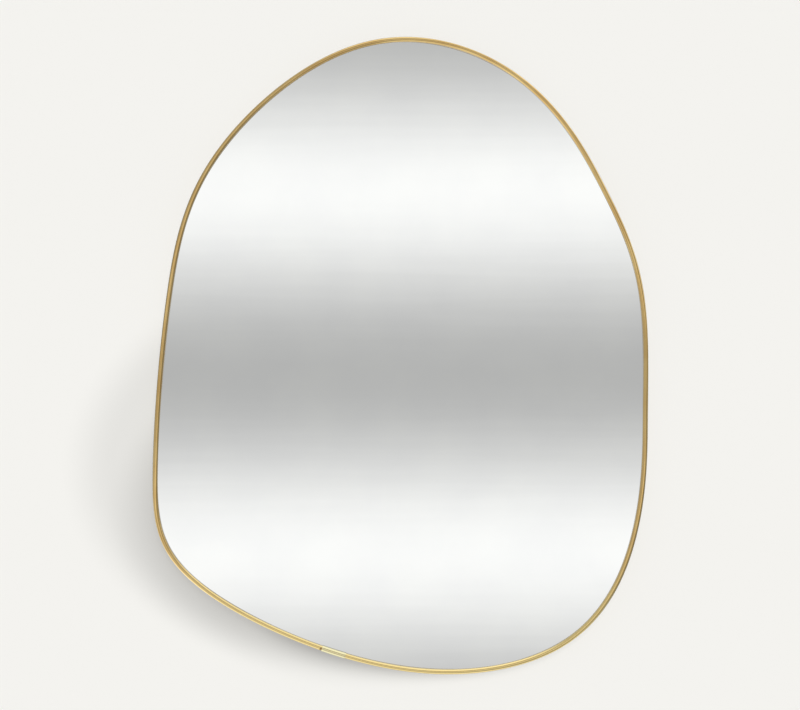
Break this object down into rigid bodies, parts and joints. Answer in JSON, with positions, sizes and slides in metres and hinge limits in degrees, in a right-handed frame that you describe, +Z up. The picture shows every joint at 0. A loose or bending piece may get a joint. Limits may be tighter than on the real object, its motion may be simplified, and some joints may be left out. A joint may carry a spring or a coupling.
{
  "type": "irregular shaped wall mirror",
  "caption": "Pebble-shaped wall mirror in a slim rounded brass rim, with a fibreboard back and D-ring strap hangers.",
  "frame": {"origin": "on the wall plane, midway between the two wall hooks, at the height where the raised D-rings bear on them", "axes": "+Z up along the mirror's height, +X to the right seen from the front, +Y into the wall, so the glass faces -Y"},
  "size_m": [0.7, 0.0267, 0.9],
  "materials": {
    "brass": "satin brushed and lacquered",
    "polished_brass": "polished",
    "silvered_glass": "mirror",
    "foam_tape": "matte foam",
    "fibreboard": "raw sanded",
    "zinced_steel": "bright zinc",
    "rubber": "matte"
  },
  "bodies": {
    "mirror": {"frame_rim": "brass", "joint_sleeve": "polished_brass", "splice_plate": "zinced_steel", "mirror_glass": "silvered_glass", "foam_tape_1": "foam_tape", "foam_tape_2": "foam_tape", "foam_tape_3": "foam_tape", "foam_tape_4": "foam_tape", "backing_board": "fibreboard", "board_clip_01": "zinced_steel", "board_clip_02": "zinced_steel", "board_clip_03": "zinced_steel", "board_clip_04": "zinced_steel", "board_clip_05": "zinced_steel", "board_clip_06": "zinced_steel", "board_clip_07": "zinced_steel", "board_clip_08": "zinced_steel", "board_clip_09": "zinced_steel", "board_clip_10": "zinced_steel", "clip_screw_01": "zinced_steel", "clip_screw_02": "zinced_steel", "clip_screw_03": "zinced_steel", "clip_screw_04": "zinced_steel", "clip_screw_05": "zinced_steel", "clip_screw_06": "zinced_steel", "clip_screw_07": "zinced_steel", "clip_screw_08": "zinced_steel", "clip_screw_09": "zinced_steel", "clip_screw_10": "zinced_steel", "hanger_strap_left": "zinced_steel", "hanger_strap_right": "zinced_steel", "hanger_screw_01": "zinced_steel", "hanger_screw_02": "zinced_steel", "hanger_screw_03": "zinced_steel", "hanger_screw_04": "zinced_steel", "wall_bumper_upper_left": "rubber", "wall_bumper_upper_right": "rubber", "wall_bumper_lower_left": "rubber", "wall_bumper_lower_right": "rubber"},
    "ring_left": {"hanger_ring_left": "zinced_steel"},
    "ring_right": {"hanger_ring_right": "zinced_steel"}
  },
  "joints": [
    {"name": "ring_left_hinge", "type": "hinge", "parent": "mirror", "child": "ring_left", "pos_m": [-0.2, -0.0048, -0.024], "axis": [1, 0, 0], "range_deg": [0, 180]},
    {"name": "ring_right_hinge", "type": "hinge", "parent": "mirror", "child": "ring_right", "pos_m": [0.2, -0.0048, -0.024], "axis": [1, 0, 0], "range_deg": [0, 180]}
  ]
}
